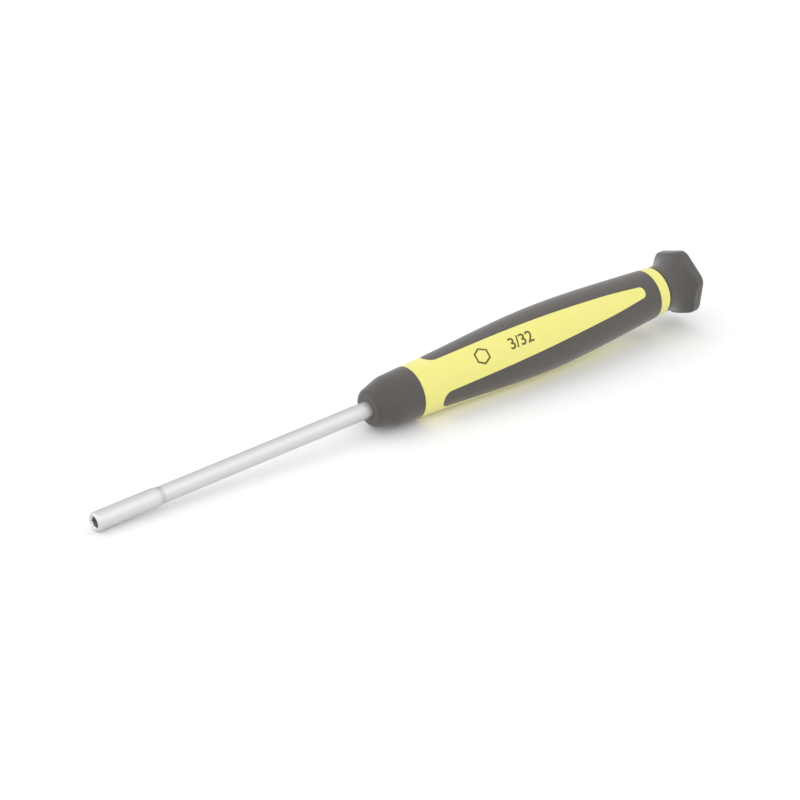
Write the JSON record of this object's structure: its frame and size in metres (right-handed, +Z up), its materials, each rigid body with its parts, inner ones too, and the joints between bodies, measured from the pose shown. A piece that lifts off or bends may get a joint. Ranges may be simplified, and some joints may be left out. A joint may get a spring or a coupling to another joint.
{
  "type": "nut driver",
  "caption": "Miniature nut driver: a satin steel hex socket blade in a slim barrel handle of yellow plastic with dark grey grips and a hexagonal swivel cap that spins under a fingertip.",
  "frame": {"origin": "centre of the socket's mouth, on the blade's axis", "axes": "+X along the blade from the socket to the cap, +Z up with the tool lying down"},
  "size_m": [0.1734, 0.0164, 0.017],
  "materials": {
    "satin_steel": "blasted and satin plated",
    "yellow_plastic": "moulded, satin",
    "grey_grip": "moulded, matt",
    "grey_plastic": "moulded, matt",
    "white_plastic": "moulded, smooth",
    "plain_steel": "drawn",
    "brass_bush": "turned"
  },
  "bodies": {
    "handle": {"driver_blade": "satin_steel", "handle_core": "yellow_plastic", "nose_sleeve": "grey_grip", "grip_sleeve": "grey_grip", "thrust_washer": "white_plastic", "swivel_pin": "plain_steel", "head_washer": "plain_steel"},
    "cap": {"swivel_cap": "grey_plastic", "pin_bush": "brass_bush", "cap_plug": "grey_plastic"}
  },
  "joints": [
    {"name": "cap_spin", "type": "hinge", "parent": "handle", "child": "cap", "pos_m": [0.1639, 0, 0], "axis": [1, 0, 0], "continuous": true}
  ]
}
